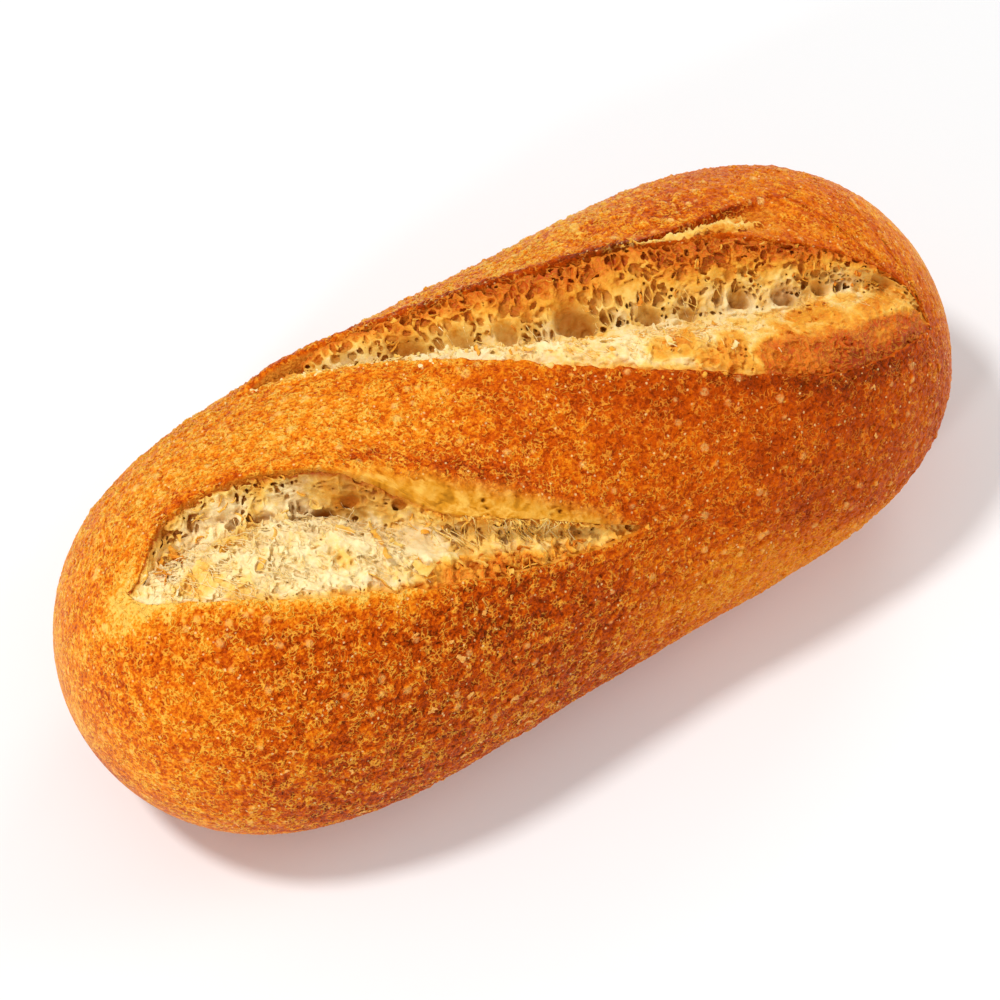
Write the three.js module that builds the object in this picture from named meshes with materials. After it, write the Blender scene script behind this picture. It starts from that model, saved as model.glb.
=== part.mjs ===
// Mini baguette: a short, fat loaf of one piece, baked on a flat tray.
// Two long slanting cuts in its crown burst open in the oven, so torn crumb shows between lips of crust.
// Millimetres, +Z up. The loaf lies along X with its far side at +Y.
// The origin is the middle of its flat base.

import * as THREE from "three";
import { mergeVertices } from "three/addons/utils/BufferGeometryUtils.js";

// Driving dimensions of the whole loaf
const LENGTH = 160;
const WIDTH = 72;
const HEIGHT = 58;
const WIDEST_LEVEL = 23; // height of the widest line above the base
const BELLY_DEPTH = 28.5; // depth of the round underside, whose lowest part the tray pressed flat
const END_BLUNTNESS = 4.4; // a larger number keeps the sides parallel for longer
const END_ROUNDNESS = 2.0; // 2 rounds the tips like a ball
const NEAR_WAIST = { slimmer: 1.4, station: 0, reach: 38 }; // each side is a little hollow along its middle
const FAR_WAIST = { slimmer: 1.0, station: 12, reach: 24 };

// A cut runs straight from one place on the crown to another. A place is a station along X in millimetres and
// an angle round the section from the top in degrees, plus towards the far side.
// Each lip parts from that line by up to its angle, and rise and fall say how fast it opens and closes.
// Across the opening, shares run from 0 at the low lip to 1 at the high lip.
// The torn crumb is a mound by the low lip that falls to a valley and climbs a wall to the high lip.
// Along the cut, the valley turns from one share to another.
const NEAR_CUT = {
  from: { station: -68, angle: 5 },
  to: { station: 6, angle: -56 },
  lowLip: { parts: 17, rise: 0.35, fall: 0.8, rim: 0.5 },
  highLip: { parts: 20.5, rise: 0.6, fall: 1.2, rim: 0.9 },
  depth: 5,
  valley: { first: 0.83, last: 0.45, turnsFrom: 0.36, turnsTo: 0.62 },
  moundSlope: 0.42,
  wall: 0.17,
};
const FAR_CUT = {
  from: { station: -38, angle: 44 },
  to: { station: 66, angle: -50 },
  lowLip: { parts: 16.5, rise: 1.4, fall: 0.9, rim: 0.5 },
  highLip: { parts: 27, rise: 1.0, fall: 0.3, rim: 2.0 },
  depth: 7,
  valley: { first: 0.57, last: 0.8, turnsFrom: 0.8, turnsTo: 0.97 },
  moundSlope: 0.36,
  wall: 0.4,
};
const LEAST_PARTING = 1.2; // degrees between a cut's line and each lip past the ends of the cut
const RIM_REACH = 4; // how far the crust stays lifted beside a lip
const CRUMB_STEP = 0.9; // the crumb starts this far below its lips
const LIP_SHARE = 0.07; // share of the opening in which the crust drops to the crumb
const WALL_FOOT = 0.02; // share of the opening from the valley's bottom to the foot of the wall
const WALL_PITCH = 0.8; // share of the wall's height that is steep, before it eases into the high lip
const GAPE_POWER = 0.7; // less than 1 keeps a cut deep where its lips are half closed
const RIM_FADE = { start: 0.1, end: 0.3 }; // shares of a cut's length in which its rims rise and sink

// A second tear above the right end of the far cut left an ear of crust with a lower shelf under it.
// Its edge runs straight to the turn. The shelf sinks in the given shares of its own width.
const EAR = {
  angle: 12,
  from: 20,
  full: 36,
  fades: 44,
  ends: 58,
  turn: 54,
  to: 68,
  drop: 1.7,
  slope: 0.8,
  edge: 0.12,
};

// Unevenness: crags of torn crumb in the cuts, and the slow swell of the hand-shaped crust
const CRAG = { height: 1.1, size: 4.2 };
const SWELL = { height: 0.55, size: 21, shift: 3.7, fadesFrom: 80, fadesTo: 115 };
const SEED = 7.3;

// The grid: rings along the loaf, and columns that follow the lips so that each lip is a clean edge
const RINGS = 104;
const RING_EVENNESS = 0.55; // 0 crowds the rings into the tips, 1 spaces them evenly
const COLUMNS = {
  nearMound: 6,
  nearWall: 5,
  strap: 6,
  farMound: 6,
  farWall: 6,
  shelf: 4,
  farSide: 11,
  base: 4,
  nearSide: 8,
};
const AROUND = Object.values(COLUMNS).reduce((sum, steps) => sum + steps);
const LEAST_FULLNESS = 0.01; // keeps the sums finite at the very tips
const LEAST_BASE = 8; // degrees from straight down to the columns that bound the base, where there is no base

const CRUST_COLOUR = 0xc4661f;
const DEGREE = Math.PI / 180;
const MM_PER_DEGREE = (WIDTH / 2) * DEGREE;
const { lerp, smoothstep } = THREE.MathUtils;

// How full the section is at a station, from 0 at the tips to 1 in the middle
function fullness(station) {
  const share = Math.min(1, Math.abs(station) / (LENGTH / 2));
  return (1 - share ** END_BLUNTNESS) ** (1 / END_ROUNDNESS);
}

// A lip's parting from its cut's line, in degrees, at a share of the cut's length
function parting(lip, share) {
  if (share <= 0 || share >= 1) return LEAST_PARTING;
  const peak = lip.rise / (lip.rise + lip.fall);
  const shape = (share / peak) ** lip.rise * ((1 - share) / (1 - peak)) ** lip.fall;
  return Math.max(LEAST_PARTING, lip.parts * shape);
}

// Where the valley lies across a cut, at a share of the cut's length
function valleyShare(cut, share) {
  const { first, last, turnsFrom, turnsTo } = cut.valley;
  return lerp(first, last, smoothstep(share, turnsFrom, turnsTo));
}

// The angles of a cut's lips and valley at a station, how wide it gapes, from 0 to 1,
// and how far its rims are lifted
function lipsAt(cut, station) {
  const share = (station - cut.from.station) / (cut.to.station - cut.from.station);
  const line = lerp(cut.from.angle, cut.to.angle, share);
  const below = parting(cut.lowLip, share);
  const above = parting(cut.highLip, share);
  const gape = Math.max(0, below + above - 2 * LEAST_PARTING) / (cut.lowLip.parts + cut.highLip.parts);
  const lift = smoothstep(share, 0, RIM_FADE.start) * smoothstep(1 - share, 0, RIM_FADE.end);
  const low = line - below;
  const high = line + above;
  const valley = lerp(low, high, valleyShare(cut, share));
  return { share, low, valley, high, gape: gape ** GAPE_POWER, lift };
}

// Falls from 1 to 0 in the shape of a bell
function bell(distance, reach) {
  return Math.exp(-((distance / reach) ** 2));
}

// A random value between -1 and 1 that belongs to a lattice point
function latticeValue(i, j) {
  const value = Math.sin(i * 127.1 + j * 311.7 + SEED) * 43758.5453;
  return 2 * (value - Math.floor(value)) - 1;
}

// Smooth noise between -1 and 1
function noise(x, y) {
  const i = Math.floor(x);
  const j = Math.floor(y);
  const u = smoothstep(x - i, 0, 1);
  const v = smoothstep(y - j, 0, 1);
  const near = lerp(latticeValue(i, j), latticeValue(i + 1, j), u);
  const far = lerp(latticeValue(i, j + 1), latticeValue(i + 1, j + 1), u);
  return lerp(near, far, v);
}

// How deep the torn crumb lies, from 0 at the lips to 1 in the valley, at shares along and across a cut
function trough(cut, along, across) {
  const valley = valleyShare(cut, along);
  const sunk = smoothstep(across, valley - cut.moundSlope, valley);
  const steep = smoothstep(across, valley + WALL_FOOT, Math.min(1, valley + cut.wall));
  const eased = smoothstep(across, valley + WALL_FOOT, 1);
  return sunk * (1 - lerp(eased, steep, WALL_PITCH));
}

// How far a cut lifts or sinks the crown at a place, in millimetres
function cutRelief(cut, station, angle) {
  const { share, low, high, gape, lift } = lipsAt(cut, station);
  if (gape === 0) return 0;
  if (angle < low) return lift * cut.lowLip.rim * bell((low - angle) * MM_PER_DEGREE, RIM_REACH);
  if (angle > high) return lift * cut.highLip.rim * bell((angle - high) * MM_PER_DEGREE, RIM_REACH);
  const across = (angle - low) / (high - low);
  const inside = smoothstep(across, 0, LIP_SHARE) * smoothstep(1 - across, 0, LIP_SHARE);
  const rim = lift * lerp(cut.lowLip.rim, cut.highLip.rim, across) * (1 - inside);
  const crags = CRAG.height * noise(station / CRAG.size, (angle * MM_PER_DEGREE) / CRAG.size);
  return rim - gape * (inside * (CRUMB_STEP - crags) + cut.depth * trough(cut, share, across));
}

// The angle of the ear's edge, which turns down round the far cut's end to meet its lip
function earAngle(station) {
  const lip = lipsAt(FAR_CUT, station).high;
  const edge = lerp(EAR.angle, FAR_CUT.to.angle, smoothstep(station, EAR.turn, EAR.to));
  return Math.max(lip + LEAST_PARTING, edge);
}

// How far the shelf between the far cut's lip and the ear is sunk, in millimetres
function shelfRelief(station, angle) {
  const lip = lipsAt(FAR_CUT, station).high;
  const share = (angle - lip) / (earAngle(station) - lip);
  if (share <= 0 || share >= 1) return 0;
  const along = smoothstep(station, EAR.from, EAR.full) * (1 - smoothstep(station, EAR.fades, EAR.ends));
  return -EAR.drop * along * smoothstep(share, 0, EAR.slope) * smoothstep(1 - share, 0, EAR.edge);
}

// The angle from the top at which the round underside meets the flat base
function baseAngle(station) {
  const reach = WIDEST_LEVEL / (BELLY_DEPTH * Math.max(fullness(station), LEAST_FULLNESS));
  const angle = reach < 1 ? 180 - Math.acos(reach) / DEGREE : 180;
  return Math.min(angle, 180 - LEAST_BASE);
}

// The slow swell of the crust, which fades out towards the base
function swellRelief(station, angle) {
  const aboveBase = 1 - smoothstep(Math.abs(angle), SWELL.fadesFrom, SWELL.fadesTo);
  const along = station / SWELL.size + SWELL.shift;
  return SWELL.height * aboveBase * noise(along, (angle * MM_PER_DEGREE) / SWELL.size);
}

// The point of the loaf's surface at a station and an angle from the top
function surfacePoint(station, angle) {
  const full = fullness(station);
  const side = Math.sin(angle * DEGREE);
  const waist = side < 0 ? NEAR_WAIST : FAR_WAIST;
  const across = (WIDTH / 2 - waist.slimmer * bell(station - waist.station, waist.reach)) * full * side;
  const height = Math.cos(angle * DEGREE) > 0 ? HEIGHT - WIDEST_LEVEL : BELLY_DEPTH;
  const up = height * full * Math.cos(angle * DEGREE);
  const wrapped = angle - 360 * Math.round(angle / 360);
  const relief =
    cutRelief(NEAR_CUT, station, wrapped) +
    cutRelief(FAR_CUT, station, wrapped) +
    shelfRelief(station, wrapped) +
    swellRelief(station, wrapped);
  const radius = Math.hypot(across, up);
  const grown = radius > 0 ? 1 + (relief * full) / radius : 1;
  return new THREE.Vector3(station, across * grown, Math.max(0, WIDEST_LEVEL + up * grown));
}

// Crowds evenly spaced shares from 0 to 1 towards both ends
function crowded(share, amount) {
  return lerp(share, (1 - Math.cos(Math.PI * share)) / 2, amount);
}

// The angle of one of the grid's columns at a station
function columnAngle(column, station) {
  const near = lipsAt(NEAR_CUT, station);
  const far = lipsAt(FAR_CUT, station);
  const ear = earAngle(station);
  const base = baseAngle(station);
  const bands = [
    { start: near.low, end: near.valley, steps: COLUMNS.nearMound, crowding: 0.8 },
    { start: near.valley, end: near.high, steps: COLUMNS.nearWall, crowding: 0.8 },
    { start: near.high, end: far.low, steps: COLUMNS.strap, crowding: 0.6 },
    { start: far.low, end: far.valley, steps: COLUMNS.farMound, crowding: 0.8 },
    { start: far.valley, end: far.high, steps: COLUMNS.farWall, crowding: 0.8 },
    { start: far.high, end: ear, steps: COLUMNS.shelf, crowding: 0.8 },
    { start: ear, end: base, steps: COLUMNS.farSide, crowding: 0.2 },
    { start: base, end: 360 - base, steps: COLUMNS.base, crowding: 0 },
    { start: 360 - base, end: near.low + 360, steps: COLUMNS.nearSide, crowding: 0.2 },
  ];
  let left = column;
  for (const band of bands) {
    if (left <= band.steps) return lerp(band.start, band.end, crowded(left / band.steps, band.crowding));
    left -= band.steps;
  }
  return near.low + 360;
}

// The station of a ring, from -LENGTH / 2 to LENGTH / 2
function ringStation(ring) {
  const share = ring / RINGS;
  const rounded = -Math.cos(Math.PI * share);
  return (LENGTH / 2) * lerp(rounded, 2 * share - 1, RING_EVENNESS);
}

// A ball whose poles become the loaf's tips, with each of its points moved to the loaf's surface
function makeLoaf() {
  const ball = new THREE.SphereGeometry(1, AROUND, RINGS);
  const position = ball.attributes.position;
  for (let i = 0; i < position.count; i++) {
    const column = i % (AROUND + 1);
    const ring = Math.floor(i / (AROUND + 1));
    const station = ringStation(ring);
    const point = surfacePoint(station, columnAngle(column % AROUND, station));
    position.setXYZ(i, point.x, point.y, point.z);
  }
  ball.deleteAttribute("normal");
  ball.deleteAttribute("uv");
  const closed = mergeVertices(ball);
  closed.computeVertexNormals();
  return closed;
}

const crust = new THREE.MeshStandardMaterial({ color: CRUST_COLOUR, roughness: 0.6, metalness: 0 });
const loaf = new THREE.Mesh(makeLoaf(), crust);
loaf.name = "loaf";

const baguette = new THREE.Group();
baguette.add(loaf);

export default baguette;
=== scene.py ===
# Mini baguette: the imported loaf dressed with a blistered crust, torn crumb and the light of a small studio.
from collections import namedtuple

import bmesh
import bpy
import numpy as np
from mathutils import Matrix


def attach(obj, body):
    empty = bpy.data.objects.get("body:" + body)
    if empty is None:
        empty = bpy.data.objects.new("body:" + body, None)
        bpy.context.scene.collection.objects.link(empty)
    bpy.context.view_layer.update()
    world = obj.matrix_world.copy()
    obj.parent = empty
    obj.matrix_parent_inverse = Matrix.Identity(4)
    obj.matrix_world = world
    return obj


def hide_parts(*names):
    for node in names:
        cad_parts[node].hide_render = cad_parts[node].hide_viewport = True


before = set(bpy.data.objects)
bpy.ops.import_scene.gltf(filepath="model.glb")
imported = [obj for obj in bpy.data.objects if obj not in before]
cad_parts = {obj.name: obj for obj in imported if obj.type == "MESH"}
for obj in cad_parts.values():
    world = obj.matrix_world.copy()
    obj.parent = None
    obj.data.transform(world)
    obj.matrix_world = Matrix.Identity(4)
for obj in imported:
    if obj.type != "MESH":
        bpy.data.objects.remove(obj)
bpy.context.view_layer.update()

import openvdb
from mathutils import Vector

# The loaf's form, in millimetres and degrees, as the solid has it
LENGTH = 160.0
WIDTH = 72.0
HEIGHT = 58.0
WIDEST_LEVEL = 23.0
BELLY_DEPTH = 28.5
END_BLUNTNESS = 4.4
END_ROUNDNESS = 2.0
NEAR_WAIST = {"slimmer": 1.4, "station": 0.0, "reach": 38.0}
FAR_WAIST = {"slimmer": 1.0, "station": 12.0, "reach": 24.0}

# Each cut follows a line from one place to another, given as stations and angles from the top.
# Its lips part from that line by so many degrees at most, as powers of the shares along the cut, and have
# lifted rims. At the tip, which is the first end, the high lip is drawn down.
# Between the lips, the crumb is a mound, a valley and a wall. The valley lies at a first share of the width,
# and turns to a last one between two shares of the length.
# The crumb goes on under the crust's edge, climbs to that edge, and spills over the low lip up to a share of
# the length. It is carved in a block between two lifts.
# A dent is a burst bubble: its shares along and across, its half sizes in millimetres and its depth.
# A crag is a dent with a depth below zero.
NEAR_CUT = {
    "from": (-68.0, 5.0), "to": (6.0, -56.0),
    "low": {"parts": 17.0, "rise": 0.35, "fall": 0.8, "rim": 0.5},
    "high": {"parts": 20.5, "rise": 0.6, "fall": 1.2, "rim": 0.9},
    "depth": 5.0, "valley": (0.83, 0.45, 0.36, 0.62), "mound_slope": 0.42, "wall": 0.17, "tip": 0.75,
    "crumb_over": 2.0, "crumb_climb": 2.5, "spill_ends": 0.85, "block": (-12.0, 2.5),
    "dents": [
        (0.405, 0.76, 1.6, 1.1, 2.6), (0.53, 0.71, 1.0, 0.8, 2.0), (0.30, 0.82, 1.5, 0.9, 2.3),
        (0.245, 0.84, 1.0, 0.8, 1.9), (0.35, 0.74, 1.0, 0.8, 1.9), (0.46, 0.82, 1.2, 0.7, 1.7),
        (0.275, 0.76, 0.8, 0.6, 1.6), (0.375, 0.85, 0.8, 0.6, 1.6), (0.16, 0.82, 0.8, 0.7, 1.2),
        (0.945, 0.3, 0.6, 0.6, 1.3), (0.54, 0.42, 2.4, 2.8, 0.9), (0.57, 0.22, 1.1, 0.8, -1.1),
        (0.67, 0.27, 0.7, 0.8, -1.7), (0.73, 0.16, 1.0, 0.7, -1.1), (0.62, 0.18, 1.3, 0.7, -0.8),
    ],
}
FAR_CUT = {
    "from": (-38.0, 44.0), "to": (66.0, -50.0),
    "low": {"parts": 16.5, "rise": 1.4, "fall": 0.9, "rim": 0.5},
    "high": {"parts": 27.0, "rise": 1.0, "fall": 0.3, "rim": 2.0},
    "depth": 7.0, "valley": (0.57, 0.8, 0.8, 0.97), "mound_slope": 0.36, "wall": 0.4, "tip": 0.0,
    "crumb_over": 9.0, "crumb_climb": 4.5, "spill_ends": 0.62, "block": (-14.5, 3.4),
    "dents": [
        (0.265, 0.71, 2.8, 1.9, 2.4), (0.34, 0.76, 1.6, 1.2, 1.6), (0.40, 0.72, 1.5, 1.4, 1.7),
        (0.495, 0.71, 3.0, 2.6, 2.5), (0.60, 0.66, 1.6, 1.7, 1.7), (0.655, 0.65, 1.4, 1.5, 1.6),
        (0.735, 0.69, 1.8, 1.8, 2.1), (0.80, 0.67, 1.9, 1.5, 1.9), (0.86, 0.73, 1.6, 1.3, 1.7),
        (0.955, 0.86, 1.4, 1.2, 1.7), (0.18, 0.76, 1.0, 0.8, 1.2), (0.52, 0.50, 2.0, 0.9, -0.7),
        (0.63, 0.44, 2.4, 1.0, -0.8), (0.44, 0.46, 1.6, 0.9, -0.6),
    ],
}
LEAST_PARTING = 1.2  # degrees between a cut's line and its lips where it is closed
TIP_REACH = 0.14  # share of a cut's length in which its first end is drawn down to the low lip
GAPE_POWER = 0.7  # less than 1 keeps a cut deep where its lips are half closed
RAGGED_GAPE = (0.08, 0.5)  # gapes between which the lips start to stray
RIM_REACH = 4.0  # how far from its lip a rim is lifted
RIM_FADE = (0.1, 0.3)  # shares of a cut's length in which its rims rise and fade
WALL_FOOT = 0.02  # share of the opening from the valley's bottom to the foot of the wall
WALL_PITCH = 0.8  # share of the wall's height that is steep, before it eases into the high lip

# In the near cut's right half, a ledge of thin crust hangs down to a torn ridge
LEDGE = {"from": 0.40, "full": 0.60, "above_valley": 0.15, "width": 3.0, "ridge": 0.45, "ridge_reach": 1.2}

# Above the far cut's right end an ear of crust stands over a sunken shelf, with a strip of torn crumb on it
EAR = {
    "angle": 12.0, "from": 20.0, "full": 36.0, "fades": 44.0, "ends": 58.0, "turn": 54.0, "to": 68.0,
    "drop": 1.7, "slope": 0.8, "edge": 0.12,
}
STRIP = {
    "starts": (20, 30), "ends": (43, 52), "turns": (28, 42), "middle": (0.3, 0.62), "half_width": 0.42,
    "top": (0.82, 0.97),
}

# The slow swell of the crust, which fades between two angles from the top
SWELL = {"height": 0.55, "size": 21.0, "shift": 3.7, "fades": (80, 115)}
SEED = 7.3
LEAST_FULLNESS = 0.01  # keeps the sums finite at the very tips
LEAST_BASE = 8.0  # degrees from straight down
MM_PER_DEGREE = np.radians(WIDTH / 2)  # of arc along the crust
MM = 0.001
PER_METRE = 1000.0  # millimetres to a metre

# Crumb: it is carved in a block of voxels, whose sides are stations, arcs and lifts in millimetres
VOXEL = 0.18
CORE_DEPTH = 3.0  # how deep the carving goes
UNDER_LIP = 2.6  # how far the crumb reaches under the low lip
ARC = 0.6  # millimetres of arc to a degree
CRUMB_STEP = 0.45  # how far below its lips the crumb starts
EVEN_CELLS = (0.95, 1.6)  # sizes of the fine and the large cells
DRAWN_CELLS = (0.9, 1.5)  # the same where the tear has drawn them out
DRAWN_OUT = (1.0, 2.4, 1.6)  # how far along, across and up the drawn cells are stretched
TEAR_ALONG, TEAR_ACROSS = 0.894, 0.447  # the way in which the tear ran
CELL_WALL, CELL_WALL_VARIES = 0.11, 0.06
FACE_CORNERS = 4

Lips = namedtuple("Lips", "share low valley high gape lift")


def smoothstep(x, a, b):
    t = np.clip((x - a) / (b - a), 0.0, 1.0)
    return t * t * (3.0 - 2.0 * t)


def lerp(a, b, t):
    return a + (b - a) * t


def bell(distance, reach):
    return np.exp(-((distance / reach) ** 2))


# Noise

def lattice_value(i, j):
    """A value between -1 and 1 that always goes with the same point of a lattice."""
    value = np.sin(i * 127.1 + j * 311.7 + SEED) * 43758.5453
    return 2.0 * (value - np.floor(value)) - 1.0


def swell_noise(x, y):
    """The smooth noise that shaped the solid's swell."""
    i, j = np.floor(x), np.floor(y)
    u, v = smoothstep(x - i, 0, 1), smoothstep(y - j, 0, 1)
    near = lerp(lattice_value(i, j), lattice_value(i + 1, j), u)
    far = lerp(lattice_value(i, j + 1), lattice_value(i + 1, j + 1), u)
    return lerp(near, far, v)


def lattice(points, size):
    """Each point's place in its cell of a lattice, the cell's number, and the lattice's extent."""
    scaled = np.ascontiguousarray(points.T, np.float32) / np.float32(size)
    cell = np.floor(scaled)
    inside = scaled - cell
    cell = cell.astype(np.int32)
    cell -= cell.min(axis=1, keepdims=True) - 1
    extent = tuple(int(n) + 2 for n in cell.max(axis=1))
    return inside, (cell[0] * extent[1] + cell[1]) * extent[2] + cell[2], extent


def noise(points, size, seed):
    """Smooth noise between -1 and 1 at points in space."""
    inside, number, extent = lattice(points, size)
    values = np.random.default_rng(seed).uniform(-1, 1, extent).astype(np.float32).ravel()
    u, v, w = inside * inside * (3 - 2 * inside)
    columns = []
    for step in (0, extent[1] * extent[2]):
        rows = [lerp(values[number + step + n], values[number + step + n + 1], w) for n in (0, extent[2])]
        columns.append(lerp(rows[0], rows[1], v))
    return lerp(columns[0], columns[1], u)


def layered_noise(points, size, seed, layers=3):
    """Noise with finer and weaker layers on top."""
    return sum(noise(points, size / 2**n, seed + n) / 2**n for n in range(layers)) / (2 - 2 ** (1 - layers))


def seeds_around(points, size, seed):
    """For each of the 27 cells around every point: the way to the cell's seed, and the cell's number."""
    inside, number, extent = lattice(points, size)
    shift = np.random.default_rng(seed).random((3,) + extent).astype(np.float32).reshape(3, -1)
    for step in np.ndindex(3, 3, 3):
        i, j, k = (n - 1 for n in step)
        near = number + (i * extent[1] + j) * extent[2] + k
        x, y, z = (inside[n] - (np.float32(at) + shift[n][near]) for n, at in enumerate((i, j, k)))
        yield np.sqrt(x * x + y * y + z * z), near, extent, (x, y, z)


def pores(points, size, seed, smallest=0.3, largest=0.6, kept=1.0):
    """Signed distance to round pores, one in each kept cell of a lattice, less than 0 inside a pore."""
    nearest = np.full(len(points), 9.0, np.float32)
    radius = None
    for distance, number, extent, _ in seeds_around(points, size, seed):
        if radius is None:
            draw = np.random.default_rng(seed + 1)
            radius = draw.uniform(smallest, largest, extent).astype(np.float32).ravel()
            radius[draw.random(radius.size) > kept] = -2.0
        np.minimum(nearest, distance - radius[number], out=nearest)
    return nearest * size


def cell_walls(points, size, seed):
    """Distance to the nearest wall of a foam with cells of that size."""
    first = np.full(len(points), 9.0, np.float32)
    second = first.copy()
    for distance, _, _, _ in seeds_around(points, size, seed):
        np.minimum(second, np.maximum(first, distance), out=second)
        np.minimum(first, distance, out=first)
    return (second - first) * size / 2


def scales(points, size, seed):
    """Small plates with a tilt and a tone each: height, tone between 0 and 1, and distance to the edge."""
    first = np.full(len(points), 9.0, np.float32)
    second = first.copy()
    height, tone = np.zeros_like(first), np.zeros_like(first)
    slopes = None
    for distance, number, extent, way in seeds_around(points, size, seed):
        if slopes is None:
            draw = np.random.default_rng(seed + 1)
            slopes = draw.normal(0, 1, (3, np.prod(extent))).astype(np.float32)
            tones = draw.random(np.prod(extent)).astype(np.float32)
        closer = distance < first
        height = np.where(closer, sum(slopes[n][number] * way[n] for n in range(3)), height)
        tone = np.where(closer, tones[number], tone)
        np.minimum(second, np.maximum(first, distance), out=second)
        np.minimum(first, distance, out=first)
    return height * size, tone, (second - first) * size / 2


# The loaf's form

def fullness(x):
    """How full the loaf is at stations, from 1 in the middle to 0 at the tips."""
    share = np.minimum(1.0, np.abs(x) / (LENGTH / 2))
    return (1.0 - share**END_BLUNTNESS) ** (1.0 / END_ROUNDNESS)


def parting(lip, share):
    """How many degrees a lip parts from its cut's line, at shares along the cut."""
    inside = np.clip(share, 1e-6, 1 - 1e-6)
    peak = lip["rise"] / (lip["rise"] + lip["fall"])
    shape = (inside / peak) ** lip["rise"] * ((1 - inside) / (1 - peak)) ** lip["fall"]
    open_here = (share > 0) & (share < 1)
    return np.where(open_here, np.maximum(LEAST_PARTING, lip["parts"] * shape), LEAST_PARTING)


def valley_share(cut, share):
    """The share across a cut where its valley lies, at shares along it."""
    first, last, turns_from, turns_to = cut["valley"]
    return lerp(first, last, smoothstep(share, turns_from, turns_to))


def cut_line(cut, x):
    """The share along a cut at stations, and the angle of its line."""
    share = (x - cut["from"][0]) / (cut["to"][0] - cut["from"][0])
    return share, lerp(cut["from"][1], cut["to"][1], share)


def lip_wander(x, row):
    """How far a torn lip strays from its curve, in degrees."""
    return 0.7 * swell_noise(x / 2.6, row) + 0.35 * swell_noise(x / 0.9, row + 5)


def lips_at(cut, x):
    """A cut at stations: shares along it, angles of its lips and valley, its gape and its rims' lift."""
    share, line = cut_line(cut, x)
    below, above = parting(cut["low"], share), parting(cut["high"], share)
    gape = np.maximum(0, below + above - 2 * LEAST_PARTING) / (cut["low"]["parts"] + cut["high"]["parts"])
    lift = smoothstep(share, 0, RIM_FADE[0]) * smoothstep(1 - share, 0, RIM_FADE[1])
    ragged = smoothstep(gape, *RAGGED_GAPE)
    low = line - below - ragged * lip_wander(x, 11.0 + cut["depth"])
    drawn_down = cut["tip"] * (below - LEAST_PARTING) * (1 - smoothstep(share, 0, TIP_REACH))
    high = line + above + ragged * lip_wander(x, 31.0 + cut["depth"]) - drawn_down
    valley = lerp(low, high, valley_share(cut, share))
    return Lips(share, low, valley, high, gape**GAPE_POWER, lift)


def crust_edge(cut, x):
    """Angle of the crust's edge above a cut: the high lip, or the torn ridge below the near cut's ledge."""
    lips = lips_at(cut, x)
    if cut is FAR_CUT:
        return lips.high
    ridge = np.minimum(lips.high, lips.valley + LEDGE["above_valley"] * (lips.high - lips.low))
    return lerp(lips.high, ridge, smoothstep(lips.share, LEDGE["from"], LEDGE["full"]))


def rim_lift(cut, x, angle):
    """How far the crust is lifted beside a cut, by its rims and by the torn ridge of its ledge."""
    lips, edge = lips_at(cut, x), crust_edge(cut, x)
    below = cut["low"]["rim"] * bell((lips.low - angle) * MM_PER_DEGREE, RIM_REACH)
    above = cut["high"]["rim"] * bell((angle - lips.high) * MM_PER_DEGREE, RIM_REACH)
    ledge = smoothstep((lips.high - edge) * MM_PER_DEGREE, 0, LEDGE["width"])
    above = above + LEDGE["ridge"] * ledge * bell((angle - edge) * MM_PER_DEGREE, LEDGE["ridge_reach"])
    return np.where(angle < (lips.low + edge) / 2, below, above) * lips.lift * (lips.gape > 0)


def trough(cut, along, across):
    """How deep the torn crumb lies, from 0 at the lips to 1 in the valley."""
    valley = valley_share(cut, along)
    sunk = smoothstep(across, valley - cut["mound_slope"], valley)
    steep = smoothstep(across, valley + WALL_FOOT, np.minimum(1, valley + cut["wall"]))
    eased = smoothstep(across, valley + WALL_FOOT, 1.0)
    return sunk * (1 - lerp(eased, steep, WALL_PITCH))


def ear_angle(x):
    """The angle of the ear's edge, which turns down round the far cut's end."""
    edge = lerp(EAR["angle"], FAR_CUT["to"][1], smoothstep(x, EAR["turn"], EAR["to"]))
    return np.maximum(lips_at(FAR_CUT, x).high + LEAST_PARTING, edge)


def shelf_relief(x, angle):
    """How far the shelf below the ear is sunk."""
    lip = lips_at(FAR_CUT, x).high
    share = (angle - lip) / (ear_angle(x) - lip)
    along = smoothstep(x, EAR["from"], EAR["full"]) * (1 - smoothstep(x, EAR["fades"], EAR["ends"]))
    sunk = -EAR["drop"] * along * smoothstep(share, 0, EAR["slope"]) * smoothstep(1 - share, 0, EAR["edge"])
    return np.where((share > 0) & (share < 1), sunk, 0.0)


def torn_strip(x, angle, wander):
    """How much of the torn strip below the ear there is at a place, from 0 to 1."""
    lip = lips_at(FAR_CUT, x).high
    share = (angle - lip) / np.maximum(ear_angle(x) - lip, 1)
    middle = lerp(*STRIP["middle"], smoothstep(x, *STRIP["turns"]))
    along = smoothstep(x, *STRIP["starts"]) * (1 - smoothstep(x + 4 * wander, *STRIP["ends"]))
    across = bell(share + 0.16 * wander - middle, STRIP["half_width"]) * (share > 0)
    return across * along * (1 - smoothstep(share, *STRIP["top"]))


def base_angle(x):
    """The angle from the top where the flat base begins."""
    reach = WIDEST_LEVEL / (BELLY_DEPTH * np.maximum(fullness(x), LEAST_FULLNESS))
    angle = 180 - np.degrees(np.arccos(np.minimum(reach, 1.0)))
    return np.minimum(angle, 180 - LEAST_BASE)


def swell_relief(x, angle):
    """The slow swell of the crust, which fades out towards the base."""
    above_base = 1 - smoothstep(np.abs(angle), *SWELL["fades"])
    along = x / SWELL["size"] + SWELL["shift"]
    return SWELL["height"] * above_base * swell_noise(along, angle * MM_PER_DEGREE / SWELL["size"])


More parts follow.
